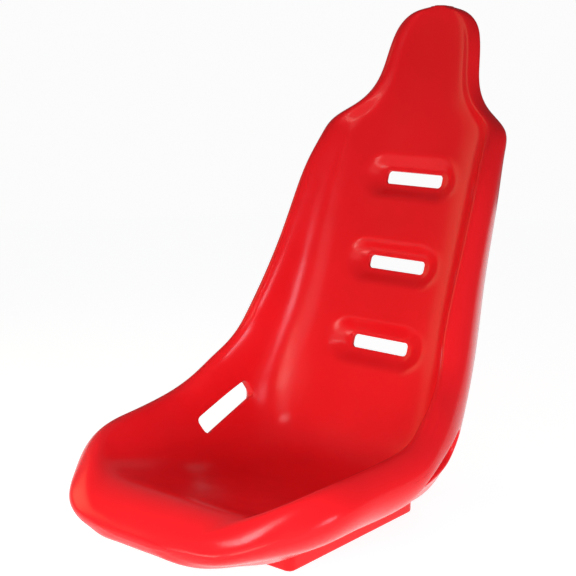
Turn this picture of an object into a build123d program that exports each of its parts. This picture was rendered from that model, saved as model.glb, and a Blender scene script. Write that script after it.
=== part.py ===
from build123d import *
import os
from collections import namedtuple
from math import cos, hypot, radians, sin, sqrt

# High-back bucket racing seat, one hollow double-walled polyethylene moulding.
# X runs across the seat, -Y is its front, Z is up. The origin is the middle of the
# underside of the base block. Lengths are in millimetres.

wall = 4.0  # thickness of each moulded skin
skin_gap = 38.0  # overall depth of the double wall behind the backrest

# Base block that stands on the floor or on a seat bracket
base_front = -167.0
base_rear = 169.0
base_width = 270.0
base_top = 36.0  # the block runs up into the hull to this height
base_corner = 12.0
base_edge = 5.0

# Backrest: a flat plane that leans back by this angle from the vertical
recline = 19.0
back_y = 247.0  # a point of that plane on the centreline
back_z = 303.0

# Harness slots on the centreline of the backrest, with their oval dished surrounds
slot_length = 120.0
slot_height = 24.0
slot_corner = 7.0
slot_rises = (-40.0, 109.0, 268.0)  # distance of each slot up the backrest
slot_cut = (20.0, -60.0)  # the slots are cut from in front of the backrest to behind it
dish_mouth = (196.0, 80.0)
dish_floor = (142.0, 40.0)
dish_depth = 15.0
dish_clearance = 4.0  # the dishes are cut from this far outside each skin
dish_root = 1.0  # the dishes' walls start this far inside each skin

# Lap belt slot through each hip wall
hip_x = 211.0
hip_y = 65.0
hip_z = 145.0
hip_slope = 21.0  # the slot falls towards the front by this angle
hip_flare = 20.0  # the wall around it leans outwards by this angle
hip_slot_length = 132.0
hip_slot_height = 34.0
hip_slot_cut = (-25.0, 35.0)  # the slots are cut from inside the hip wall to outside it
hip_pocket_mouth = (196.0, 88.0)
hip_pocket_floor = (150.0, 48.0)
hip_pocket_depth = 78.0  # the pocket's taper runs out this far from the hip wall
hip_floor = 9.0  # distance of the pocket's floor from the seating side of the wall

# Threaded inserts moulded into the base, M8
insert_spacing_x = 200.0
insert_spacing_y = 250.0
insert_radius = 6.5
insert_flange_radius = 9.0
insert_flange = 1.5
insert_length = 16.0
thread_radius = 3.4  # tapping size of M8
thread_depth = 14.0
boss_radius = 12.0
boss_height = 20.0

# Vent hole in the rear skin and the plug that closes it
vent_rise = 188.0  # between the middle and the upper slot
vent_radius = 6.0
plug_head_radius = 9.5
plug_head = 2.0
plug_length = 9.0

# Stations along the centreline of the seating surface, from the front lip to the head.
# y, z: the point on the centreline; lean: tilt of the section plane;
# crest: half width and height of the bolster's top; rim: half width and height of its
# outermost line; belly: half width and depth of the outer hull behind the surface.
Station = namedtuple("Station", "y z lean crest_w crest_h rim_w rim_h belly_w belly_h")

lip_stations = [
    Station(-374, 95, 0, 45, -1, 74, -7, 40, -13),
    Station(-368, 101, 0, 78, -1, 114, -11, 66, -28),
    Station(-355, 109, 0, 108, 1, 153, -16, 92, -45),
    Station(-330, 120, 0, 140, 4, 187, -18, 116, -63),
    Station(-290, 127, 0, 178, 16, 220, -14, 132, -77),
]
pan_stations = [
    Station(-230, 112, 0, 218, 55, 258, 18, 138, -78),
    Station(-130, 88, 0, 240, 92, 273, 54, 138, -62),
    Station(-20, 66, 0, 249, 126, 282, 86, 138, -44),
]
bend_stations = [
    Station(65, 58, 14, 244, 158, 275, 118, 138, -38),
    Station(150, 80, 28, 238, 178, 264, 138, 143, -65),
    Station(195, 158, 42, 227, 142, 250, 105, 170, -61),
    Station(222, 237, 56, 216, 112, 240, 77, 186, -43),
]
back_stations = [
    Station(247, 303, 71, 207, 104, 231, 70, 184, -38),
    Station(280, 398, 71, 197, 87, 216, 56, 175, -38),
    Station(312, 492, 71, 191, 74, 208, 46, 170, -38),
    Station(335, 558, 71, 185, 64, 202, 38, 165, -38),
    Station(354, 614, 71, 176, 46, 195, 24, 155, -37),
]
head_stations = [
    Station(365, 651, 72, 160, 30, 181, 14, 138, -36),
    Station(374, 680, 73, 124, 20, 143, 7, 108, -34),
    Station(383, 709, 74, 100, 14, 117, 3, 88, -32),
    Station(398, 760, 75, 84, 10, 101, 0, 76, -30),
    Station(410, 806, 76, 74, 8, 92, -2, 68, -28),
    Station(416, 836, 77, 58, 4, 77, -5, 54, -25),
    Station(418, 850, 77, 43, 2, 61, -7, 41, -22),
    Station(419, 858, 77, 28, -1, 44, -9, 26, -19),
    Station(420, 863, 77, 14, -4, 26, -11, 14, -16),
]
stations = lip_stations + pan_stations + bend_stations + back_stations + head_stations


def station_plane(station):
    """Plane across the seat, its local y pointing out of the seating surface."""
    lean = radians(station.lean)
    along = Vector(0, -cos(lean), -sin(lean))
    return Plane(origin=(0, station.y, station.z), x_dir=(1, 0, 0), z_dir=along)


def seating_half(s):
    """Seating side of a section, from the rim over the bolster to the centreline."""
    roll = s.rim_w - s.crest_w
    drop = s.crest_h - s.rim_h
    return [
        (s.rim_w, s.rim_h),
        (s.crest_w + 0.62 * roll, s.crest_h - 0.30 * drop),
        (s.crest_w, s.crest_h),
        (0.91 * s.crest_w, 0.74 * s.crest_h),
        (0.82 * s.crest_w, 0.36 * s.crest_h),
        (0.66 * s.crest_w, 0.10 * s.crest_h),
        (0.42 * s.crest_w, 0.01 * s.crest_h),
        (0, 0),
    ]


def hull_half(s):
    """Outer side of a section, from the rim down to the centreline of the hull."""
    height = s.rim_h - s.belly_h
    flare = s.rim_w - s.belly_w
    return [
        (s.rim_w, s.rim_h),
        (s.rim_w - 0.05 * flare - 2, s.rim_h - 0.22 * height),
        (s.belly_w + 0.42 * flare, s.belly_h + 0.32 * height),
        (s.belly_w, s.belly_h + 0.05 * height),
        (0.6 * s.belly_w, s.belly_h),
        (0, s.belly_h),
    ]


def tip_half(s, half):
    """Curve that closes the hollow at the lip and the head, under the points of half."""
    reach = s.rim_w - wall
    dip = s.belly_h / 2 - s.rim_h
    xs = [x * reach / s.rim_w for x, y in half]
    return [(x, s.rim_h + dip * sqrt(1 - (x / reach) ** 2)) for x in xs]


def both_halves(half):
    """Full curve from a half that starts at the rim, right side to left side."""
    return half + [(-x, y) for x, y in reversed(half[:-1])]


def moved_in(points, depth, side):
    """Curve moved into the moulding by depth; side is 1 above the hollow, -1 below it."""
    level_ends = 1 if side > 0 else 2
    moved = []
    for i, (x, y) in enumerate(points):
        if min(i, len(points) - 1 - i) < level_ends:
            moved.append((x - depth * (1 if x > 0 else -1), y))
            continue
        run = points[i + 1][0] - points[i - 1][0]
        rise = points[i + 1][1] - points[i - 1][1]
        scale = side * depth / hypot(run, rise)
        moved.append((x - rise * scale, y + run * scale))
    return moved


def skin(half_curve, side):
    """One skin of the moulding: a closed band in each section, lofted along the seat.

    half_curve gives its outer face and side is 1 for the seating side, -1 for the hull.
    """
    with BuildPart() as part:
        for s in stations:
            half = half_curve(s)
            outer = both_halves(half)
            if s in (stations[0], stations[-1]):
                inner = both_halves(tip_half(s, half))
            else:
                inner = moved_in(outer, wall, side)
            with BuildSketch(station_plane(s)):
                with BuildLine():
                    Spline(*outer)
                    Line(outer[-1], inner[-1])
                    Spline(*inner)
                    Line(inner[0], outer[0])
                make_face()
        loft()
    return part.part


def hull_inside(depth):
    """Everything on the seating side of the hull, depth inside its outer face."""
    with BuildPart() as part:
        for s in stations:
            hull = moved_in(both_halves(hull_half(s)), depth, -1)
            with BuildSketch(station_plane(s)):
                with BuildLine():
                    Spline(*hull)
                    Line(hull[-1], hull[0])
                make_face()
        loft()
    return part.part


def base_block(depth, top):
    """Base block up to the height top, its other faces depth inside the outer ones."""
    length = base_rear - base_front - 2 * depth
    middle = (base_rear + base_front) / 2
    with BuildPart() as part:
        with BuildSketch(Plane.XY.offset(depth)):
            with Locations((0, middle)):
                RectangleRounded(base_width - 2 * depth, length, base_corner - depth / 2)
        extrude(amount=top - depth)
        chamfer(part.faces().sort_by(Axis.Z)[0].edges(), base_edge - depth / 2)
    return part.part


def back_plane(rise, height):
    """Plane parallel to the backrest, at a height in front of it, local y up the backrest."""
    lean = radians(recline)
    up = Vector(0, sin(lean), cos(lean))
    out = Vector(0, -cos(lean), sin(lean))
    origin = Vector(0, back_y, back_z) + up * rise + out * height
    return Plane(origin=origin, x_dir=(1, 0, 0), z_dir=out)


def hip_plane(side, depth):
    """Plane along the hip wall, depth outside it, local x up along the belt slot."""
    slope = radians(hip_slope)
    flare = radians(hip_flare)
    along = Vector(0, cos(slope), sin(slope))
    out = Vector(side * cos(flare), sin(slope) * sin(flare), -cos(slope) * sin(flare))
    origin = Vector(side * hip_x, hip_y, hip_z) + out * depth
    return Plane(origin=origin, x_dir=along, z_dir=out)


def pocket(mouth_plane, mouth, floor_plane, floor, grow):
    """Oval pocket that tapers from its mouth to its floor, grow larger all round."""
    with BuildPart() as part:
        with BuildSketch(mouth_plane):
            SlotOverall(mouth[0] + 2 * grow, mouth[1] + 2 * grow)
        with BuildSketch(floor_plane):
            SlotOverall(floor[0] + 2 * grow, floor[1] + 2 * grow)
        loft()
    return part.part


def slot_dish(rise, mouth_height, floor_height, grow):
    """Dish around a harness slot; its sides keep their taper up to mouth_height."""
    reach = abs(mouth_height - floor_height) / dish_depth
    mouth = [f + (m - f) * reach for m, f in zip(dish_mouth, dish_floor)]
    mouth_plane = back_plane(rise, mouth_height)
    floor_plane = back_plane(rise, floor_height)
    return pocket(mouth_plane, mouth, floor_plane, dish_floor, grow)


def front_dishes(start, depth, grow):
    """The dishes in the seating skin, from the height start down to depth."""
    return [slot_dish(rise, start, -depth, grow) for rise in slot_rises]


def rear_dishes(start, depth, grow):
    """The dishes in the back of the hull, which meet those of the seating skin."""
    back = -skin_gap
    return [slot_dish(rise, back - start, back + depth, grow) for rise in slot_rises]


def hip_pocket(side, floor_depth, grow):
    """Deep pocket in the outside of a hip wall, around the lap belt slot."""
    mouth_plane = hip_plane(side, hip_pocket_depth)
    floor_plane = hip_plane(side, floor_depth)
    return pocket(mouth_plane, hip_pocket_mouth, floor_plane, hip_pocket_floor, grow)


def belt_slots():
    """Cutters for the three harness slots and the two lap belt slots."""
    with BuildPart() as part:
        for rise in slot_rises:
            with BuildSketch(back_plane(rise, slot_cut[0])):
                RectangleRounded(slot_length, slot_height, slot_corner)
            extrude(amount=slot_cut[1] - slot_cut[0])
        for side in (-1, 1):
            with BuildSketch(hip_plane(side, hip_slot_cut[0])):
                RectangleRounded(hip_slot_length, hip_slot_height, slot_corner)
            extrude(amount=hip_slot_cut[1] - hip_slot_cut[0])
    return part.part


slots = belt_slots()
insert_places = GridLocations(insert_spacing_x, insert_spacing_y, 2, 2)
vent_plane = back_plane(vent_rise, -skin_gap - plug_head)

seating_side = skin(seating_half, 1)
front_dish_walls = front_dishes(-dish_root, dish_depth + wall, wall)
front_dish_cuts = front_dishes(dish_clearance, dish_depth, 0.0)

hull_side = skin(hull_half, -1)
base_outside = base_block(0.0, base_top)
base_inside = base_block(wall, base_top + wall)
rear_depth = skin_gap - dish_depth - wall  # the dish floors of the two skins touch here
rear_dish_walls = rear_dishes(-dish_root, rear_depth, wall)
rear_dish_cuts = rear_dishes(dish_clearance, rear_depth - wall, 0.0)
inside = hull_inside(wall / 2)
hip_walls = [hip_pocket(side, hip_floor - wall, wall) & inside for side in (-1, 1)]
hip_cuts = [hip_pocket(side, hip_floor, 0.0) for side in (-1, 1)]

# Seating skin: pan, backrest, bolsters, lip and head, dished around the harness slots
with BuildPart() as front_skin:
    add(seating_side)
    add(front_dish_walls)
    add(front_dish_cuts, mode=Mode.SUBTRACT)
    add(slots, mode=Mode.SUBTRACT)

# Outer skin: hull and back, with the base block and its four insert bosses
with BuildPart() as rear_skin:
    add(hull_side)
    add(base_outside)
    add(base_inside, mode=Mode.SUBTRACT)
    add(rear_dish_walls)
    add(rear_dish_cuts, mode=Mode.SUBTRACT)
    add(hip_walls)
    add(hip_cuts, mode=Mode.SUBTRACT)
    add(slots, mode=Mode.SUBTRACT)
    with BuildSketch(Plane.XY):
        with insert_places:
            Circle(boss_radius)
    extrude(amount=boss_height)
    with BuildSketch(Plane.XY):
        with insert_places:
            Circle(insert_radius)
    extrude(amount=insert_length, mode=Mode.SUBTRACT)
    with BuildSketch(Plane.XY):
        with insert_places:
            Circle(insert_flange_radius)
    extrude(amount=insert_flange, mode=Mode.SUBTRACT)
    with BuildSketch(vent_plane):
        Circle(plug_head_radius)
    extrude(amount=plug_head, mode=Mode.SUBTRACT)
    with BuildSketch(vent_plane):
        Circle(vent_radius)
    extrude(amount=plug_head + plug_length, mode=Mode.SUBTRACT)

# Threaded inserts, flush with the underside of the base
with BuildPart() as mount_inserts:
    with BuildSketch(Plane.XY):
        with insert_places:
            Circle(insert_radius)
    extrude(amount=insert_length)
    with BuildSketch(Plane.XY):
        with insert_places:
            Circle(insert_flange_radius)
    extrude(amount=insert_flange)
    with BuildSketch(Plane.XY):
        with insert_places:
            Circle(thread_radius)
    extrude(amount=thread_depth, mode=Mode.SUBTRACT)

# Push-in plug of the vent hole
with BuildPart() as vent_plug:
    with BuildSketch(vent_plane):
        Circle(plug_head_radius)
    extrude(amount=plug_head)
    with BuildSketch(vent_plane):
        Circle(vent_radius)
    extrude(amount=plug_head + plug_length)

os.makedirs("parts", exist_ok=True)
for name, piece in (
    ("front_skin", front_skin),
    ("rear_skin", rear_skin),
    ("mount_inserts", mount_inserts),
    ("vent_plug", vent_plug),
):
    piece.part.label = name
    export_step(piece.part, f"parts/{name}.step")
    print(name, piece.part.is_valid, len(piece.part.solids()), round(piece.part.volume / 1000), "cm3")
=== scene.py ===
"""Red moulded high-back bucket racing seat: the looks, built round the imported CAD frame.

Lengths in this file are in millimetres until a mesh is made; the frame is in metres.
"""

import math

import bmesh
import bpy
import numpy as np
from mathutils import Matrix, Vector


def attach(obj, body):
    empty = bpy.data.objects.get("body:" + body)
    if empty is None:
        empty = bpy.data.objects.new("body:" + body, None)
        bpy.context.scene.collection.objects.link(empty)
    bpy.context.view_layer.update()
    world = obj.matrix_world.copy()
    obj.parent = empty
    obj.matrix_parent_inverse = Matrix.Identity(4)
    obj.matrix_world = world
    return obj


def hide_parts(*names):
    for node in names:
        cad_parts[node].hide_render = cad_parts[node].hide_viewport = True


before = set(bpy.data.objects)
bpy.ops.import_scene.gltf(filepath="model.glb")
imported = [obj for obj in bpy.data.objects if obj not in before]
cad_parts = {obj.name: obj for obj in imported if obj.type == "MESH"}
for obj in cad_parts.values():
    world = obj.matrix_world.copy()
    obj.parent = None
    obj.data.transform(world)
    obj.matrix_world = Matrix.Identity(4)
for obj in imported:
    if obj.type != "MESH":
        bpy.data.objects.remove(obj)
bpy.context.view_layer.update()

MM = 0.001
WALL = 4.0  # thickness of each skin
TIP_WALL, TIP_REACH = 0.8, 30.0  # thickness at the very lip and head, full again this far in
SHARP = math.radians(38)  # the least angle of an edge that isn't shaded smooth
SAME_PLACE = 1e-6  # metres between points that are joined

# Stations along the centreline of the seating surface, from the front lip to the head:
# y, z, lean of the section plane, half width and height of the bolster's crest, of the
# rim, and of the hull behind.
STATIONS = np.array(
    [
        (-374, 95, 0, 45, -1, 74, -7, 40, -13),
        (-368, 101, 0, 78, -1, 114, -11, 66, -28),
        (-355, 109, 0, 108, 1, 153, -16, 92, -45),
        (-330, 120, 0, 140, 4, 187, -18, 116, -63),
        (-290, 127, 0, 178, 16, 220, -14, 132, -77),
        (-230, 112, 0, 218, 55, 258, 18, 138, -78),
        (-130, 88, 0, 240, 92, 273, 54, 138, -62),
        (-20, 66, 0, 249, 126, 282, 86, 138, -44),
        (65, 58, 14, 244, 158, 275, 118, 138, -38),
        (150, 80, 28, 238, 178, 264, 138, 143, -65),
        (195, 158, 42, 227, 142, 250, 105, 170, -61),
        (222, 237, 56, 216, 112, 240, 77, 186, -43),
        (247, 303, 71, 207, 104, 231, 70, 184, -38),
        (280, 398, 71, 197, 87, 216, 56, 175, -38),
        (312, 492, 71, 191, 74, 208, 46, 170, -38),
        (335, 558, 71, 185, 64, 202, 38, 165, -38),
        (354, 614, 71, 176, 46, 195, 24, 155, -37),
        (365, 651, 72, 160, 30, 181, 14, 138, -36),
        (374, 680, 73, 124, 20, 143, 7, 108, -34),
        (383, 709, 74, 100, 14, 117, 3, 88, -32),
        (398, 760, 75, 84, 10, 101, 0, 76, -30),
        (410, 806, 76, 74, 8, 92, -2, 68, -28),
        (416, 836, 77, 58, 4, 77, -5, 54, -25),
        (418, 850, 77, 43, 2, 61, -7, 41, -22),
        (419, 858, 77, 28, -1, 44, -9, 26, -19),
        (420, 863, 77, 14, -4, 26, -11, 14, -16),
    ],
    float,
)
NOSE = 3.0  # how far the rounded ends of the moulding reach past their last sections
NOSE_ROWS = 6
HEAD_LEAN = math.radians(77)
LIP_Y, HEAD_Z = -374.0, 863.0  # the front and the top of the whole seat
LIP_TAPER, HEAD_TAPER = 44.0, 63.0  # lengths over which the sections draw in to make room
RIM_INSET = 0.4  # keeps the rim inside the moulding's overall width

RECLINE = math.radians(19)
BACK_POINT = np.array([0.0, 247.0, 303.0])
SLOT_RISES = (-40.0, 109.0, 268.0)
SLOT = (60.0, 12.0, 7.0)  # half length, half height and corner radius
SLOT_EDGE = 2.0  # radius of its rounded edges
DISH_FLOOR = (71.0, 20.0)  # half length and half height
DISH_MOUTH = (98.0, 40.0)
DISH_DEPTH = 15.0
DISH_ZONE = (140.0, 75.0, 120.0)  # how far it may reach across, up or down, and its least z
MOUTH_BLEND = 5.0  # width over which a dish's wall runs into the skin round it
FLOOR_BLEND = 0.3  # share of its wall that is rounded into its floor
BACK_DEPTH = 38.0  # from the seating surface of the backrest to the back of the hull
SEAM_DEPTH = 19.0  # the two skins meet here inside the harness slots

HIP_POINT = (211.0, 65.0, 145.0)
HIP_SLOPE = math.radians(21)
HIP_FLARE = math.radians(20)
HIP_SLOT = (17.0, 66.0, 9.0)
HIP_EDGE = 2.5
POCKET_FLOOR = (24.0, 75.0, 9.0)  # half height, half length and distance from the wall
POCKET_MOUTH = (44.0, 98.0, 78.0)
POCKET_BOX = (40.0, 93.0)  # half height and length of the cells it takes out of the hull
POCKET_EDGE = 6.0  # how far the rounding of its mouth reaches
POCKET_FOOT = 13.0  # distance at which its walls start to round into its floor
POCKET_INNER = 3.0  # how far that rounding reaches into the floor
HIP_SEAM = 6.5

BASE_HALF = (135.0, 168.0)
BASE_MIDDLE = 1.0
BASE_CORNER = 12.0
BASE_TOP_EDGE = 8.0  # radius where its sides meet the hull
BASE_LOW_EDGE = 5.0  # radius of the edge that stands on the floor
INSERT_X, INSERT_Y = 100.0, 125.0
INSERT_HOLE = 9.15
HOLE_EDGE = 0.5

# How finely curves are worked out, and the loops of points that round an edge
SECTION_POINTS, CENTRELINE_POINTS, CORNER_POINTS = 900, 4000, 24
EDGE_LOOPS, FOOT_LOOPS = 4, 3
OUT_OF_REACH = 1e9  # added to the squared distance of points that don't count

# Parts of the skins that each opening is looked for in
BACK_ABOVE = 150.0
HIP_BEYOND = 150.0
FRONT_HIP_BELOW, REAR_HIP_BELOW = 260.0, 230.0
BASE_BELOW, BOTTOM_BELOW = 90.0, 1.0
# Grid steps round an opening over which the grid is drawn toward its loop
SLOT_WARP, HIP_WARP, HOLE_WARP = 6, 7, 3


def second_derivatives(knots, values, closed):
    """Second derivatives of the cubic spline through values, natural or closed."""
    n = len(values)
    h = np.diff(knots)
    a = np.zeros((n, n))
    b = np.zeros((n, values.shape[1]))
    for i in range(n):
        if not closed and i in (0, n - 1):
            a[i, i] = 1.0
            continue
        before, after = h[i - 1], h[i]
        a[i, i - 1] += before
        a[i, i] += 2 * (before + after)
        a[i, (i + 1) % n] += after
        rise = (values[(i + 1) % n] - values[i]) / after
        b[i] = 6 * (rise - (values[i] - values[i - 1]) / before)
    m = np.linalg.solve(a, b)
    return np.vstack([m, m[:1]]) if closed else m


def spline(knots, values, at, closed=False):
    """Cubic spline through values at knots; a closed one repeats its first value last."""
    m = second_derivatives(knots, values[:-1] if closed else values, closed)
    i = np.clip(np.searchsorted(knots, at, side="right") - 1, 0, len(knots) - 2)
    h = (knots[i + 1] - knots[i])[:, None]
    s = (at - knots[i])[:, None] / h
    r = 1 - s
    curve = r * values[i] + s * values[i + 1]
    return curve + h * h / 6 * ((r**3 - r) * m[i] + (s**3 - s) * m[i + 1])


def lengths(points):
    """Distance along a polyline at each of its points."""
    return np.r_[0, np.cumsum(np.linalg.norm(np.diff(points, axis=0), axis=1))]


def smooth_min(a, b, width):
    """The lesser of a and b, rounded where they are within width of each other."""
    return np.minimum(a, b) - np.maximum(width - np.abs(a - b), 0) ** 2 / (4 * width)


CREST, RIM, BELLY = 5, 7, 10  # their places in the list of a section's points


def section(station):
    """Half of a closed section, from the centre of the seating side to that of the hull.

    Returns the curve and the indices of its crest, rim and belly points.
    """
    crest_w, crest_h, rim_w, rim_h, belly_w, belly_h = station[3:]
    rim_w = rim_w - RIM_INSET
    roll, drop = rim_w - crest_w, crest_h - rim_h
    height, flare = rim_h - belly_h, rim_w - belly_w
    half = np.array(
        [
            (0, 0),
            (0.42 * crest_w, 0.01 * crest_h),
            (0.66 * crest_w, 0.10 * crest_h),
            (0.82 * crest_w, 0.36 * crest_h),
            (0.91 * crest_w, 0.74 * crest_h),
            (crest_w, crest_h),
            (crest_w + 0.62 * roll, crest_h - 0.30 * drop),
            (rim_w, rim_h),
            (rim_w - 0.05 * flare - 2, rim_h - 0.22 * height),
            (belly_w + 0.42 * flare, belly_h + 0.32 * height),
            (belly_w, belly_h + 0.05 * height),
            (0.6 * belly_w, belly_h),
            (0, belly_h),
        ]
    )
    full = np.vstack([half, (half * (-1, 1))[-2::-1]])
    knots = lengths(full)
    fine = np.linspace(0, knots[len(half) - 1], SECTION_POINTS)
    curve = spline(knots, full, fine, closed=True)
    curve[0, 0] = curve[-1, 0] = 0.0
    return curve, [int(np.searchsorted(fine, knots[k])) for k in (CREST, RIM, BELLY)]


# Station numbers and the distance between the rows there
ROW_STEPS = (
    (0, 1.5),
    (1, 2.6),
    (4, 4.5),
    (5, 6.0),
    (6, 6.5),
    (7, 4.6),
    (9, 4.8),
    (10, 6.0),
    (11, 4.4),
    (16, 4.4),
    (18, 4.8),
    (22, 4.2),
    (24, 2.2),
    (25, 1.2),
)


def row_positions():
    """Distances along the centreline of the rows of both skins, and of the stations."""
    reach = lengths(STATIONS[:, :2])
    places, steps = zip(*ROW_STEPS)
    fine = np.linspace(0, reach[-1], CENTRELINE_POINTS)
    count = np.r_[0, np.cumsum(np.diff(fine) / np.interp(fine[1:], reach[list(places)], steps))]
    rows = int(round(count[-1]))
    return np.interp(np.linspace(0, count[-1], rows + 1), count, fine), reach


# Places of the middle columns; they are closer together at the ends of the slots
CENTRE = np.array([0, 6, 12, 18, 24, 30, 36, 42, 48, 52.5, 55.5, 58, 60.5, 64.5, 69.5, 75])
# The share of the way to the crest, or to the belly's corner, that they may take up
FRONT_SHARE, REAR_SHARE = 0.36, 0.5
# Further columns out to the crest or the belly's corner, then on to the rim
FRONT_COLUMNS, REAR_COLUMNS = (42, 14), (17, 32)
FRONT_BIAS, REAR_BIAS = 0.85, 0.8  # how much closer together they get toward the rim


def spread(start, end, count, bias=0.0):
    """Places after start and up to end, closer together near the end by bias."""
    t = np.arange(1, count + 1) / count
    t = (1 - bias) * t + bias * np.sin(t * math.pi / 2)
    return start + (end - start) * t


def columns(corner, end, share, counts, bias):
    """Places of one skin's columns along half a section, from its middle to the rim."""
    flat = CENTRE / CENTRE[-1] * min(CENTRE[-1], share * corner)
    outer = spread(flat[-1], corner, counts[0])
    return np.r_[flat, outer, spread(corner, end, counts[1], bias)]


def mirrored(half):
    """A whole row from its half with x above 0."""
    return np.vstack([(half * (-1, 1, 1))[:0:-1], half])


def shells():
    """The seating surface and the hull as grids of points, middle column at x = 0."""
    rows, reach = row_positions()
    stations = spline(reach, STATIONS, rows)
    lip = np.clip((LIP_Y + LIP_TAPER - stations[:, 0]) / LIP_TAPER, 0, 1) ** 2
    head = np.clip((stations[:, 1] - HEAD_Z + HEAD_TAPER) / HEAD_TAPER, 0, 1) ** 2
    stations[:, 0] += NOSE * lip - NOSE * head * math.cos(HEAD_LEAN)
    stations[:, 1] -= NOSE * head * math.sin(HEAD_LEAN)
    fronts, rears = [], []
    for station in stations:
        curve, (crest, rim, belly) = section(station)
        s = lengths(curve)
        a_crest, a_rim, a_belly, a_end = s[crest], s[rim], s[belly], s[-1]
        front = columns(a_crest, a_rim, FRONT_SHARE, FRONT_COLUMNS, FRONT_BIAS)
        rear = columns(a_end - a_belly, a_end - a_rim, REAR_SHARE, REAR_COLUMNS, REAR_BIAS)
        for where, grid in ((front, fronts), (a_end - rear, rears)):
            x = np.interp(where, s, curve[:, 0])
            h = np.interp(where, s, curve[:, 1])
            lean = math.radians(station[2])
            y = station[0] - math.sin(lean) * h
            z = station[1] + math.cos(lean) * h
            grid.append(mirrored(np.stack([x, y, z], 1)))
    return np.array(fronts), np.array(rears)


def pair(a, b):
    """For each point of row a, the point of row b across the moulding at the same x."""
    return np.stack([np.interp(a[:, 0], b[:, 0], b[:, c]) for c in range(3)], 1)


def nose_rows(row, other, along):
    """Rounded rows from one skin's last row to the middle of the moulding's thickness."""
    middle = (row + pair(row, other)) / 2
    t = np.abs(row[:, 0]) / row[-1, 0]
    bulge = NOSE * np.sqrt(np.clip(1 - t**2, 0, 1))
    rows = []
    for k in range(1, NOSE_ROWS + 1):
        angle = k / NOSE_ROWS * math.pi / 2
        out = np.outer(bulge, along) * math.sin(angle)
        rows.append(middle + (row - middle) * math.cos(angle) + out)
    return rows


def with_noses(front, rear):
    """Adds rounded rows that close the moulding at the lip and at the head."""
    lip_f, lip_r = front[0], rear[0]
    along = np.array([0, -1.0, 0])
    head_f, head_r = front[-1], rear[-1]
    up = np.array([0, math.cos(HEAD_LEAN), math.sin(HEAD_LEAN)])
    front = [nose_rows(lip_f, lip_r, along)[::-1], front, nose_rows(head_f, head_r, up)]
    rear = [nose_rows(lip_r, lip_f, along)[::-1], rear, nose_rows(head_r, head_f, up)]
    return np.concatenate(front), np.concatenate(rear)


class Surface:
    """A grid of points, read between its rows and columns by cubic interpolation."""

    def __init__(self, grid):
        self.grid = grid
        tall = np.concatenate([2 * grid[:1] - grid[1:2], grid, 2 * grid[-1:] - grid[-2:-1]])
        left = 2 * tall[:, :1] - tall[:, 1:2]
        right = 2 * tall[:, -1:] - tall[:, -2:-1]
        self.padded = np.concatenate([left, tall, right], 1)

    @staticmethod
    def weights(t):
        """Shares of the four neighbours of a place t of the way between the middle two."""
        return (
            0.5 * (-t + 2 * t**2 - t**3),
            0.5 * (2 - 5 * t**2 + 3 * t**3),
            0.5 * (t + 4 * t**2 - 3 * t**3),
            0.5 * (t**3 - t**2),
        )

    def at(self, u, v):
        """Points at row u and column v, both counted in grid steps."""
        u = np.clip(u, 0, self.grid.shape[0] - 1.000001)
        v = np.clip(v, 0, self.grid.shape[1] - 1.000001)
        i, j = np.floor(u).astype(int), np.floor(v).astype(int)
        wu, wv = self.weights(u - i), self.weights(v - j)
        total = 0.0
        for a in range(4):
            for b in range(4):
                total = total + (wu[a] * wv[b])[..., None] * self.padded[i + a, j + b]
        return total

    def find(self, u, v, axes, goal, rate=0.0):
        """Rows and columns where the surface lies at goal, seen along the axes' third one.

        The goal moves by rate for each mm along that axis.
        """
        origin, e1, e2, out = axes
        across = np.stack([e1, e2], 1)
        step, rounds = 0.02, 20

        def miss(u, v):
            q = self.at(u, v) - origin
            return q @ across - goal - rate * (q @ out)[:, None]

        for _ in range(rounds):
            r = miss(u, v)
            du = (miss(u + step, v) - r) / step
            dv = (miss(u, v + step) - r) / step
            det = du[:, 0] * dv[:, 1] - du[:, 1] * dv[:, 0]
            mu = (r[:, 1] * dv[:, 0] - r[:, 0] * dv[:, 1]) / det
            mv = (r[:, 0] * du[:, 1] - r[:, 1] * du[:, 0]) / det
            u, v = u + np.clip(mu, -2, 2), v + np.clip(mv, -2, 2)
        return u, v


def back_axes(rise):
    """Origin, x, up the back and out of the seating surface, at a place up the backrest."""
    up = np.array([0, math.sin(RECLINE), math.cos(RECLINE)])
    out = np.array([0, -math.cos(RECLINE), math.sin(RECLINE)])
    return BACK_POINT + up * rise, np.array([1.0, 0, 0]), up, out


def hip_axes(side):
    """Origin, across the belt slot, along it and outwards, on one hip wall."""
    along = np.array([0, math.cos(HIP_SLOPE), math.sin(HIP_SLOPE)])
    out = np.array(
        [
            side * math.cos(HIP_FLARE),
            math.sin(HIP_SLOPE) * math.sin(HIP_FLARE),
            -math.cos(HIP_SLOPE) * math.sin(HIP_FLARE),
        ]
    )
    across = np.cross(out, along)
    return np.array([side * HIP_POINT[0], HIP_POINT[1], HIP_POINT[2]]), across, along, out


def flat_axes(x, y):
    """Origin on the floor, x, y and z."""
    return np.array([x, y, 0.0]), *np.eye(3)


def rounded(half_a, half_b, radius):
    """Four sides of a rounded rectangle, each from the middle of one corner to the next.

    The sides are low b, high a, high b and low a, each running to its high end.
    """
    t = np.radians(np.linspace(0, 45, CORNER_POINTS))
    a, b = half_a - radius, half_b - radius
    right = np.stack([a + radius * np.sin(t), -b - radius * np.cos(t)], 1)
    low_b = np.vstack([(right * (-1, 1))[::-1], right])
    top = np.stack([a + radius * np.cos(t), b + radius * np.sin(t)], 1)
    high_a = np.vstack([(top * (1, -1))[::-1], top])
    return low_b, high_a, low_b * (1, -1), high_a * (-1, 1)


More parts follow.
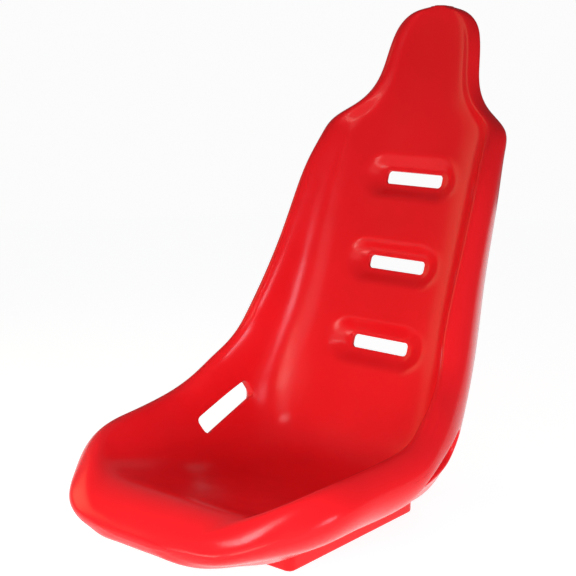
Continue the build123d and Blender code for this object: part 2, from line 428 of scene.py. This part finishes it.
class Ring:
    """The loop of grid points round a box of cells, fitted to a rounded rectangle."""

    def __init__(self, grid, axes, half_a, half_b, near):
        origin, e1, e2, out = axes
        q = grid - origin
        flat = np.stack([q @ e1, q @ e2], -1)
        far = (q @ out) ** 2 + (flat**2).sum(-1)
        far += np.where(near(grid), 0, OUT_OF_REACH)
        i, j = np.unravel_index(np.argmin(far), far.shape)
        i0, i1 = sorted(self.closest(flat[:, j, 1], i, b) for b in (-half_b, half_b))
        j0, j1 = sorted(self.closest(flat[i, :, 0], j, a) for a in (-half_a, half_a))
        self.box = (i0, i1, j0, j1)
        self.cells = [(i0, j, 0, j - j0) for j in range(j0, j1)]
        self.cells += [(i, j1, 1, i - i0) for i in range(i0, i1)]
        self.cells += [(i1, j, 2, j - j0) for j in range(j1, j0, -1)]
        self.cells += [(i, j0, 3, i - i0) for i in range(i1, i0, -1)]
        self.i = np.array([c[0] for c in self.cells])
        self.j = np.array([c[1] for c in self.cells])
        edges = [flat[i0, j0 : j1 + 1, 0], flat[i0 : i1 + 1, j1, 1]]
        edges += [flat[i1, j0 : j1 + 1, 0], flat[i0 : i1 + 1, j0, 1]]
        self.places = [(e - e[0]) / (e[-1] - e[0]) for e in edges]
        self.axes = axes

    @staticmethod
    def closest(values, start, goal):
        """Index nearest to goal, walking from start."""
        after = values[min(start + 1, len(values) - 1)]
        step = 1 if (after - values[start]) * (goal - values[start]) > 0 else -1
        miss = abs(values - goal)
        k = start
        while 0 <= k + step < len(values) and miss[k + step] < miss[k]:
            k += step
        return k

    def outline(self, half_a, half_b, radius):
        """Points of a rounded rectangle, one for each point of the loop."""
        sides = rounded(half_a, half_b, radius)
        reach = [lengths(s) for s in sides]
        points = []
        for _, _, side, k in self.cells:
            s = self.places[side][k] * reach[side][-1]
            points.append([np.interp(s, reach[side], sides[side][:, c]) for c in (0, 1)])
        return np.array(points)

    def place(self, points, depth):
        """Outline points in space, at a distance along the axes' third one."""
        origin, e1, e2, out = self.axes
        flat = origin + np.outer(points[:, 0], e1) + np.outer(points[:, 1], e2)
        return flat + np.outer(np.broadcast_to(depth, len(points)), out)

    def locate(self, surface, points, rate=0.0):
        """Rows and columns of a surface for outline points."""
        u, v = self.i.astype(float), self.j.astype(float)
        return surface.find(u, v, self.axes, points, rate)

    def warp(self, u, v, found, reach):
        """Moves the rows and columns u and v of the grid so that the loop lies at found."""
        i0, i1, j0, j1 = self.box
        du, dv = np.zeros(u.shape), np.zeros(u.shape)
        du[self.i, self.j] = found[0] - self.i
        dv[self.i, self.j] = found[1] - self.j
        ii, jj = np.indices(u.shape)
        ci, cj = np.clip(ii, i0, i1), np.clip(jj, j0, j1)
        away = np.maximum(abs(ii - ci), abs(jj - cj))
        fall = np.clip(1 - away / reach, 0, 1)
        fall = fall**2 * (3 - 2 * fall)
        outside = (ii <= i0) | (ii >= i1) | (jj <= j0) | (jj >= j1)
        u += np.where(outside, du[ci, cj] * fall, 0)
        v += np.where(outside, dv[ci, cj] * fall, 0)


def bend(start, corner, end, count):
    """Loops along a quadratic curve from start to end, without start."""
    rings = []
    for k in range(1, count + 1):
        t = k / count
        rings.append((1 - t) ** 2 * start + 2 * t * (1 - t) * corner + t * t * end)
    return rings


class Sheet:
    """One skin: its outer face as it is built, and then its inner face and its edges."""

    def __init__(self, facing):
        self.facing = facing
        self.points, self.count = [], 0
        self.outer, self.inner = [], []
        self.shared = []  # points that are part of both faces
        self.fixed = {}  # places of the inner face's points at the rim

    def add(self, points):
        """Adds points of the outer face and returns their numbers."""
        ids = np.arange(self.count, self.count + len(points))
        self.points.append(np.asarray(points))
        self.count += len(points)
        return ids

    def quads(self, a, b, c, d, outer=True, inner=True):
        """Adds four-sided faces with corners a, b, c and d to one face of the skin or both."""
        faces = np.stack([a, b, c, d], 1) if self.facing > 0 else np.stack([a, d, c, b], 1)
        if outer:
            self.outer.append(faces)
        if inner:
            self.inner.append(faces)

    def grid(self, grid, holes):
        """Adds a grid of points and its cells, apart from those in the holes' boxes."""
        ids = self.add(grid.reshape(-1, 3)).reshape(grid.shape[:2])
        self.cells(ids, holes)
        return ids

    def cells(self, ids, holes):
        """Adds the cells between a grid's points, apart from those in the holes' boxes."""
        whole = np.ones((ids.shape[0] - 1, ids.shape[1] - 1), bool)
        for i0, i1, j0, j1 in holes:
            whole[i0:i1, j0:j1] = False
        i, j = np.nonzero(whole)
        self.quads(ids[i, j], ids[i, j + 1], ids[i + 1, j + 1], ids[i + 1, j])

    def loops(self, start, rings, skip=(), end_shared=False):
        """Adds rings of points, each joined to the one before, and returns the last.

        The inner face leaves out the rings numbered in skip, which round an edge too
        tightly for it. With end_shared, both faces meet at the last ring.
        """
        before, inner_before = start, start
        for k, ring in enumerate(rings):
            ids = self.add(ring)
            b, c = np.roll(before, -1), np.roll(ids, -1)
            self.quads(before, b, c, ids, inner=False)
            last = k == len(rings) - 1
            if last or k not in skip:
                self.quads(inner_before, np.roll(inner_before, -1), c, ids, outer=False)
                inner_before = ids
            if last and end_shared:
                self.shared.append(ids)
            before = ids
        return before

    def closed(self, thickness, edges):
        """Points and faces of the skin as a closed solid; edges are its open boundaries."""
        p = np.concatenate(self.points)
        outer = np.concatenate(self.outer)
        inner = np.concatenate(self.inner)
        a, b, c, d = (p[outer[:, k]] for k in range(4))
        n = np.cross(c - a, d - b)
        normal = np.zeros_like(p)
        for k in range(4):
            np.add.at(normal, outer[:, k], n)
        normal /= np.maximum(np.linalg.norm(normal, axis=1), 1e-12)[:, None]
        inside = p - normal * thickness(p)[:, None]
        for one, where in self.fixed.items():
            inside[one] = where
        shift = np.arange(len(p)) + len(p)
        for ids in self.shared:
            shift[ids] = ids
        faces = [outer, shift[inner][:, ::-1]]
        for ids in edges:
            faces.append(np.stack([ids[1:], ids[:-1], shift[ids[:-1]], shift[ids[1:]]], 1))
        return np.concatenate([p, inside]), np.concatenate(faces)


def dish_level(x, t):
    """0 on the outline of a dish's floor and 1 on that of its mouth."""
    level, rounds = np.zeros_like(x), 6
    for _ in range(rounds):
        half = DISH_FLOOR[0] - DISH_FLOOR[1]
        half = half + (DISH_MOUTH[0] - DISH_MOUTH[1] - half) * level
        away = np.hypot(np.maximum(np.abs(x) - half, 0), t)
        level = (away - DISH_FLOOR[1]) / (DISH_MOUTH[1] - DISH_FLOOR[1])
        level = np.clip(level, -1, 4)
    return level


def dish(points, depth, front):
    """Presses the dishes round the harness slots into one skin."""
    for rise in SLOT_RISES:
        origin, across, up, out = back_axes(rise)
        q = points - origin
        x, t, h = q @ across, q @ up, q @ out
        level = dish_level(x, t)
        slope = -smooth_min(-level, np.zeros_like(level), FLOOR_BLEND)
        near = (np.abs(x) < DISH_ZONE[0]) & (np.abs(t) < DISH_ZONE[1])
        near &= points[..., 2] > DISH_ZONE[2]
        if front:
            sunk = smooth_min(h, depth + DISH_DEPTH * slope, MOUTH_BLEND) - h
        else:
            sunk = -h - smooth_min(-h, depth + DISH_DEPTH * slope, MOUTH_BLEND)
        points = points + np.where(near, sunk, 0)[..., None] * out
    return points


def grown(shape, amount):
    """Half length, half height and corner radius of a shape made larger all round."""
    return [s + amount for s in shape]


def quarter(ring, shape, depth, radius, inward):
    """Loops that round the edge of a slot, from a plane at depth into the slot."""
    rings = []
    for angle in np.radians([30, 60, 90]):
        outline = ring.outline(*grown(shape, radius * (1 - math.sin(angle))))
        rings.append(ring.place(outline, depth + inward * radius * (1 - math.cos(angle))))
    return rings


def pocket_outline(ring, depth, grow=0.0):
    """Outline of a hip pocket at a distance from the hip wall."""
    t = (depth - POCKET_FLOOR[2]) / (POCKET_MOUTH[2] - POCKET_FLOOR[2])
    a = POCKET_FLOOR[0] + (POCKET_MOUTH[0] - POCKET_FLOOR[0]) * t + grow
    b = POCKET_FLOOR[1] + (POCKET_MOUTH[1] - POCKET_FLOOR[1]) * t + grow
    return ring.outline(a, b, a)


def wall_thickness(points):
    """Thickness of a skin, thinner where the moulding closes at the lip and the head."""
    tip = np.minimum(points[:, 1] - LIP_Y, HEAD_Z - points[:, 2])
    return TIP_WALL + (WALL - TIP_WALL) * np.clip(tip / TIP_REACH, 0, 1)


def rim_insides(front, rear):
    """Where the inner faces of the two skins meet, for each rim point, left then right."""
    sides = []
    for col, step, sign in ((0, 1, -1), (-1, -2, 1)):
        rim = front[:, col]
        over = rear[:, step] - front[:, step]
        along = np.gradient(rim, axis=0)
        n = np.cross(along, over)
        size = np.linalg.norm(n, axis=1)
        good = size > 1e-6
        n[good] /= size[good][:, None]
        n *= np.sign(n[:, :1]) * sign
        first, last = np.argmax(good), len(good) - 1 - np.argmax(good[::-1])
        n[:first], n[last + 1 :] = n[first], n[last]
        sides.append(rim - n * wall_thickness(rim)[:, None])
    return sides


def grid_places(grid):
    """Row and column numbers of a grid's points, for the loops to move."""
    return (a.astype(float) for a in np.indices(grid.shape[:2]))


def hip_zone(side, below):
    """A test for points on one hip, lower than below."""
    return lambda g: (g[..., 0] * side > HIP_BEYOND) & (g[..., 2] < below)


def slot_rings(grid, surface, u, v):
    """A loop round each harness slot, with the grid's points moved to suit."""
    rings = []
    shape = grown(SLOT, SLOT_EDGE)
    for rise in SLOT_RISES:
        ring = Ring(grid, back_axes(rise), *shape[:2], lambda g: g[..., 2] > BACK_ABOVE)
        ring.warp(u, v, ring.locate(surface, ring.outline(*shape)), SLOT_WARP)
        rings.append(ring)
    return rings


def slot_walls(sheet, ids, rings, floor, inward):
    """The edges and walls of the harness slots, from the dishes' floors to the seam."""
    for ring in rings:
        loops = quarter(ring, SLOT, floor, SLOT_EDGE, inward)
        loops.append(ring.place(ring.outline(*SLOT), -SEAM_DEPTH))
        sheet.loops(ids[ring.i, ring.j], loops, skip=(0, 1, 2), end_shared=True)


def front_sheet(grid, surface, rims):
    """The seating skin: dishes, harness slots and the inner ends of the lap belt slots."""
    sheet = Sheet(1)
    u, v = grid_places(grid)
    slots, hips = slot_rings(grid, surface, u, v), []
    for side in (-1, 1):
        shape = grown(HIP_SLOT, HIP_EDGE)
        ring = Ring(grid, hip_axes(side), *shape[:2], hip_zone(side, FRONT_HIP_BELOW))
        ring.warp(u, v, ring.locate(surface, ring.outline(*shape)), HIP_WARP)
        hips.append(ring)
    points = dish(surface.at(u, v), -DISH_DEPTH, True)
    ids = sheet.grid(points, [r.box for r in slots + hips])
    slot_walls(sheet, ids, slots, -DISH_DEPTH, -1)
    for ring in hips:
        edge = ring.outline(*HIP_SLOT)
        corner = surface.at(*ring.locate(surface, edge))
        depth = (corner - ring.axes[0]) @ ring.axes[3]
        wall_top = ring.place(edge, depth + HIP_EDGE)
        rings = bend(points[ring.i, ring.j], corner, wall_top, EDGE_LOOPS)
        rings.append(ring.place(edge, HIP_SEAM))
        sheet.loops(ids[ring.i, ring.j], rings, skip=(0, 1, 2, 3), end_shared=True)
    return sheet, finish_edges(sheet, ids, rims)


def finish_edges(sheet, ids, rims):
    """Fixes the inner points of the rim and returns the open boundaries."""
    for col, inside in zip((0, -1), rims):
        for one, where in zip(ids[:, col], inside):
            sheet.fixed[one] = where
    return [ids[0], ids[:, -1], ids[-1][::-1], ids[::-1, 0]]


def base_bottom(sheet, ring, boundary, edge):
    """The underside of the base block, with a hole for each threaded insert."""
    i0, i1, j0, j1 = ring.box
    rows, cols = i1 - i0 + 1, j1 - j0 + 1
    grid = np.zeros((rows, cols, 3))
    ids = np.zeros((rows, cols), int)
    grid[ring.i - i0, ring.j - j0] = edge
    ids[ring.i - i0, ring.j - j0] = boundary
    fi = ((ring.places[1] + ring.places[3]) / 2)[:, None, None]
    fj = ((ring.places[0] + ring.places[2]) / 2)[None, :, None]
    across = (1 - fi) * grid[:1] + fi * grid[-1:]
    along = (1 - fj) * grid[:, :1] + fj * grid[:, -1:]
    corners = (1 - fi) * ((1 - fj) * grid[0, 0] + fj * grid[0, -1])
    corners = corners + fi * ((1 - fj) * grid[-1, 0] + fj * grid[-1, -1])
    inside = across + along - corners
    grid[1:-1, 1:-1] = inside[1:-1, 1:-1]
    surface = Surface(grid)
    u, v = grid_places(grid)
    holes = []
    for x in (-INSERT_X, INSERT_X):
        for y in (-INSERT_Y, INSERT_Y):
            half = (INSERT_HOLE, INSERT_HOLE)
            hole = Ring(grid, flat_axes(x, y), *half, lambda g: g[..., 2] < BOTTOM_BELOW)
            radius = INSERT_HOLE + HOLE_EDGE
            found = hole.locate(surface, hole.outline(radius, radius, radius))
            hole.warp(u, v, found, HOLE_WARP)
            holes.append(hole)
    points = surface.at(u, v)[1:-1, 1:-1]
    ids[1:-1, 1:-1] = sheet.add(points.reshape(-1, 3)).reshape(points.shape[:2])
    sheet.cells(ids, [hole.box for hole in holes])
    for hole in holes:
        circle = hole.outline(INSERT_HOLE, INSERT_HOLE, INSERT_HOLE)
        rings = [hole.place(circle, HOLE_EDGE), hole.place(circle, WALL)]
        sheet.loops(ids[hole.i, hole.j], rings, skip=(0,), end_shared=True)


def pocket_slope(ring, grow=0.0):
    """A pocket's outline at its floor, and how much it widens for each mm outwards."""
    low, high = (pocket_outline(ring, d, grow) for d in (POCKET_FLOOR[2], POCKET_MOUTH[2]))
    return low, (high - low) / (POCKET_MOUTH[2] - POCKET_FLOOR[2])


def pocket_walls(sheet, start, ring, around, surface):
    """One hip pocket, from its rounded mouth to its floor and through the lap belt slot."""
    floor = POCKET_FLOOR[2]
    low, rate = pocket_slope(ring)
    corner = surface.at(*ring.locate(surface, low - floor * rate, rate))
    deep = (corner - ring.axes[0]) @ ring.axes[3] - POCKET_EDGE

    def wall_at(depth):
        return ring.place(low + rate * (depth - floor)[:, None], depth)

    rings = bend(around, corner, wall_at(deep), EDGE_LOOPS)
    for t in (0.25, 0.5, 0.75, 1.0):
        rings.append(wall_at((1 - t) * deep + t * POCKET_FOOT))
    flat = ring.place(pocket_outline(ring, floor, -POCKET_INNER), floor)
    rings += bend(rings[-1], ring.place(low, floor), flat, FOOT_LOOPS)
    rings.append(ring.place(ring.outline(*grown(HIP_SLOT, HIP_EDGE)), floor))
    rings += quarter(ring, HIP_SLOT, floor, HIP_EDGE, -1)
    rings.append(ring.place(ring.outline(*HIP_SLOT), HIP_SEAM))
    sheet.loops(start, rings, skip=(0, 1, 2, 8, 9, 11, 12, 13, 14), end_shared=True)


def base_walls(sheet, start, ring, around, surface):
    """The base block below the hull, with its underside."""
    side = ring.outline(*BASE_HALF, BASE_CORNER)
    corner = surface.at(*ring.locate(surface, side))
    wall_top = ring.place(side, corner[:, 2] - BASE_TOP_EDGE)
    rings = bend(around, corner, wall_top, EDGE_LOOPS)
    rings.append(ring.place(side, BASE_LOW_EDGE))
    edge = ring.outline(*grown((*BASE_HALF, BASE_CORNER), -BASE_LOW_EDGE))
    rings += bend(rings[-1], ring.place(side, 0.0), ring.place(edge, 0.0), EDGE_LOOPS)
    last = sheet.loops(start, rings, skip=(0, 1, 2, 5, 6, 7))
    base_bottom(sheet, ring, last, rings[-1])


def rear_sheet(grid, surface, rims):
    """The hull skin: dishes, harness slots, hip pockets and the base block."""
    sheet = Sheet(-1)
    u, v = grid_places(grid)
    slots, pockets = slot_rings(grid, surface, u, v), []
    for side in (-1, 1):
        ring = Ring(grid, hip_axes(side), *POCKET_BOX, hip_zone(side, REAR_HIP_BELOW))
        low, rate = pocket_slope(ring, POCKET_EDGE)
        found = ring.locate(surface, low - POCKET_FLOOR[2] * rate, rate)
        ring.warp(u, v, found, HIP_WARP)
        pockets.append(ring)
    axes = flat_axes(0.0, BASE_MIDDLE)
    shape = grown((*BASE_HALF, BASE_CORNER), BASE_TOP_EDGE)
    base = Ring(grid, axes, *shape[:2], lambda g: g[..., 2] < BASE_BELOW)
    base.warp(u, v, base.locate(surface, base.outline(*shape)), SLOT_WARP)
    points = dish(surface.at(u, v), BACK_DEPTH - DISH_DEPTH, False)
    ids = sheet.grid(points, [r.box for r in slots + pockets + [base]])
    slot_walls(sheet, ids, slots, DISH_DEPTH - BACK_DEPTH, 1)
    for ring in pockets:
        at = (ring.i, ring.j)
        pocket_walls(sheet, ids[at], ring, points[at], surface)
    at = (base.i, base.j)
    base_walls(sheet, ids[at], base, points[at], surface)
    return sheet, finish_edges(sheet, ids, rims)


def mesh_object(name, points, faces):
    """An object from points in millimetres, smooth but for its sharp edges."""
    mesh = bpy.data.meshes.new(name)
    mesh.from_pydata((points * MM).tolist(), [], faces.tolist())
    work = bmesh.new()
    work.from_mesh(mesh)
    bmesh.ops.remove_doubles(work, verts=work.verts, dist=SAME_PLACE)
    bmesh.ops.dissolve_degenerate(work, dist=SAME_PLACE, edges=work.edges)
    loose = [v for v in work.verts if not v.link_faces]
    bmesh.ops.delete(work, geom=loose, context="VERTS")
    bmesh.ops.recalc_face_normals(work, faces=work.faces)
    work.to_mesh(mesh)
    work.free()
    for polygon in mesh.polygons:
        polygon.use_smooth = True
    mesh.set_sharp_from_angle(angle=SHARP)
    made = bpy.data.objects.new(name, mesh)
    bpy.context.scene.collection.objects.link(made)
    return made


front_grid, rear_grid = with_noses(*shells())
rims = rim_insides(front_grid, rear_grid)
sheet, edges = front_sheet(front_grid, Surface(front_grid), rims)
seat_front = mesh_object("seating_skin", *sheet.closed(wall_thickness, edges))
sheet, edges = rear_sheet(rear_grid, Surface(rear_grid), rims)
seat_rear = mesh_object("hull_skin", *sheet.closed(wall_thickness, edges))


class Look:
    """A material built on the one Principled shader, with textures in object space."""

    def __init__(self, name, roughness, **sockets):
        self.material = bpy.data.materials.new(name)
        self.material.use_nodes = True
        self.tree = self.material.node_tree
        self.shader = self.tree.nodes["Principled BSDF"]
        self.shader.inputs["Roughness"].default_value = roughness
        for socket, value in sockets.items():
            self.shader.inputs[socket.replace("_", " ")].default_value = value
        self.where = self.tree.nodes.new("ShaderNodeTexCoord").outputs["Object"]
        self.normal = None

    def node(self, kind, inputs, **settings):
        """A new node; each input is a value or a socket to link."""
        made = self.tree.nodes.new("ShaderNode" + kind)
        for name, value in settings.items():
            setattr(made, name, value)
        for name, value in inputs.items():
            if isinstance(value, bpy.types.NodeSocket):
                self.tree.links.new(value, made.inputs[name])
            else:
                made.inputs[name].default_value = value
        return made

    def noise(self, scale, detail=3.0, stretch=(1, 1, 1), roughness=0.5):
        """Noise with a given number of features per metre."""
        where = self.node("Mapping", {"Vector": self.where, "Scale": stretch}).outputs[0]
        inputs = {"Vector": where, "Scale": scale, "Detail": detail, "Roughness": roughness}
        return self.node("TexNoise", inputs).outputs["Fac"]

    def between(self, value, low, high):
        """A noise's usual values, 0.3 to 0.7, stretched to run from low to high."""
        inputs = {"Value": value, "From Min": 0.3, "From Max": 0.7}
        inputs.update({"To Min": low, "To Max": high})
        return self.node("MapRange", inputs, clamp=True).outputs["Result"]

    def link(self, value, socket):
        """Links a node's output to an input of the shader."""
        self.tree.links.new(value, self.shader.inputs[socket])

    def mottled(self, scale, first, second):
        """Base colour that drifts between two, with scale features per metre."""
        mask = self.between(self.noise(scale), 0, 1)
        colours = {"A": (*first, 1), "B": (*second, 1)}
        mixed = self.node("Mix", {"Factor": mask, **colours}, data_type="RGBA")
        self.link(mixed.outputs["Result"], "Base Color")

    def worn(self, texture, low, high):
        """Roughness that follows a texture."""
        self.link(self.between(texture, low, high), "Roughness")

    def bump(self, height, depth):
        """Raises the surface by depth metres where height is 1; bumps add up."""
        inputs = {"Height": height, "Distance": depth, "Strength": 1.0}
        if self.normal:
            inputs["Normal"] = self.normal
        self.normal = self.node("Bump", inputs).outputs["Normal"]
        self.link(self.normal, "Normal")


def red_plastic():
    """Gloss polyethylene, coloured through, with the faint waves of a moulded skin."""
    look = Look("red_polyethylene", 0.21, IOR=1.5, Specular_IOR_Level=0.16)
    look.mottled(5, (0.73, 0.009, 0.013), (0.78, 0.011, 0.016))
    look.worn(look.noise(60, 4, (1, 1, 0.6), 0.65), 0.19, 0.23)
    look.bump(look.noise(11, 1.5), 0.0016)
    look.bump(look.noise(420, 2), 0.00005)
    return look.material


def brass():
    """Turned brass, a little dull."""
    look = Look("insert_brass", 0.32, Metallic=1.0)
    look.mottled(60, (0.72, 0.5, 0.2), (0.82, 0.62, 0.3))
    look.worn(look.noise(300, 4), 0.26, 0.42)
    look.bump(look.noise(900, 2), 0.00003)
    return look.material


def black_plastic():
    """The fine texture of a small injection-moulded plug."""
    look = Look("plug_plastic", 0.5)
    look.mottled(80, (0.02, 0.02, 0.022), (0.035, 0.035, 0.038))
    look.worn(look.noise(500, 4), 0.42, 0.6)
    look.bump(look.noise(1600, 2), 0.00004)
    return look.material


def paint(obj, material):
    """Gives an object one material in place of its own."""
    obj.data.materials.clear()
    obj.data.materials.append(material)


red = red_plastic()
for obj, node in ((seat_front, "front_skin"), (seat_rear, "rear_skin")):
    paint(obj, red)
    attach(obj, "root")
    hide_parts(node)
paint(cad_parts["mount_inserts"], brass())
paint(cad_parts["vent_plug"], black_plastic())

# A plain disc that glows evenly, so that it is as white as the world behind it
FLOOR_RADIUS, FLOOR_DROP = 3.4, 0.0006  # metres; it lies just below what stands on it
mesh = bpy.data.meshes.new("floor")
turns = np.radians(np.arange(0, 360, 5))
disc = np.stack([np.cos(turns), np.sin(turns), np.zeros(len(turns))], 1) * FLOOR_RADIUS
mesh.from_pydata((disc - (0, 0, FLOOR_DROP)).tolist(), [], [list(range(len(turns)))])
floor = bpy.data.objects.new("floor", mesh)
bpy.context.scene.collection.objects.link(floor)
pale = Look("floor", 0.9, Specular_IOR_Level=0.1)
pale.shader.inputs["Base Color"].default_value = (0.5, 0.5, 0.5, 1)
pale.shader.inputs["Emission Color"].default_value = (1, 1, 1, 1)
pale.shader.inputs["Emission Strength"].default_value = 0.86
paint(floor, pale.material)


def area_light(name, place, target, size, power, colour, spread):
    """A soft rectangular light turned to a target, in metres, watts and degrees."""
    data = bpy.data.lights.new(name, "AREA")
    data.shape = "RECTANGLE"
    data.size, data.size_y = size
    data.energy = power
    data.color = colour
    data.spread = math.radians(spread)
    lamp = bpy.data.objects.new(name, data)
    lamp.location = place
    lamp.visible_camera = False
    aim = Vector(target) - Vector(place)
    lamp.rotation_euler = aim.to_track_quat("-Z", "Y").to_euler()
    bpy.context.scene.collection.objects.link(lamp)


area_light("key", (1.25, -1.7, 0.35), (0, -0.15, 0.12), (1.1, 0.5), 2.7, (1, 0.95, 0.8), 75)
area_light("front", (-0.1, -1.5, 0.3), (0, 0, 0.17), (0.9, 0.3), 1.9, (1, 0.97, 0.9), 75)
area_light("side", (1.1, -2.0, 0.9), (-0.1, -0.1, 0.1), (1.4, 1.2), 1.4, (1, 1, 1), 75)
area_light("window", (1.9, -0.3, 0.4), (-0.25, 0.0, 0.2), (0.6, 0.45), 3.1, (0.75, 0.85, 1), 90)
area_light("warm", (-2.2, -0.9, 1.1), (0, -0.3, 0.1), (1.5, 1.3), 3.0, (1, 0.9, 0.5), 90)
# A long narrow lamp, whose reflection is the bright streak on the near front corner
STRIP_PLACE, STRIP_TARGET = (0.175, -0.82, 0.965), (-0.03, -0.4, 0.12)
area_light("strip", STRIP_PLACE, STRIP_TARGET, (0.47, 0.02), 0.9, (0.9, 0.95, 1), 70)

# The world is white where the camera sees it and dim to the surfaces
world = bpy.data.worlds.new("studio")
bpy.context.scene.world = world
world.use_nodes = True
tree = world.node_tree
path = tree.nodes.new("ShaderNodeLightPath")
mix = tree.nodes.new("ShaderNodeMix")
mix.data_type = "RGBA"
mix.inputs["A"].default_value = (0.2, 0.2, 0.21, 1)
mix.inputs["B"].default_value = (0.97, 0.97, 0.97, 1)
tree.links.new(path.outputs["Is Camera Ray"], mix.inputs["Factor"])
tree.links.new(mix.outputs["Result"], tree.nodes["Background"].inputs["Color"])

bpy.context.scene.view_settings.view_transform = "Standard"

CAMERA_PLACE = (1.325, -1.606, 0.851)
CAMERA_DOWN, CAMERA_ROUND = math.radians(12.06), math.radians(39.7)
camera = bpy.data.objects.new("camera", bpy.data.cameras.new("camera"))
camera.location = CAMERA_PLACE
camera.rotation_euler = (math.pi / 2 - CAMERA_DOWN, 0, CAMERA_ROUND)
camera.data.lens = 81
camera.data.sensor_width = 36
bpy.context.scene.collection.objects.link(camera)
bpy.context.scene.camera = camera
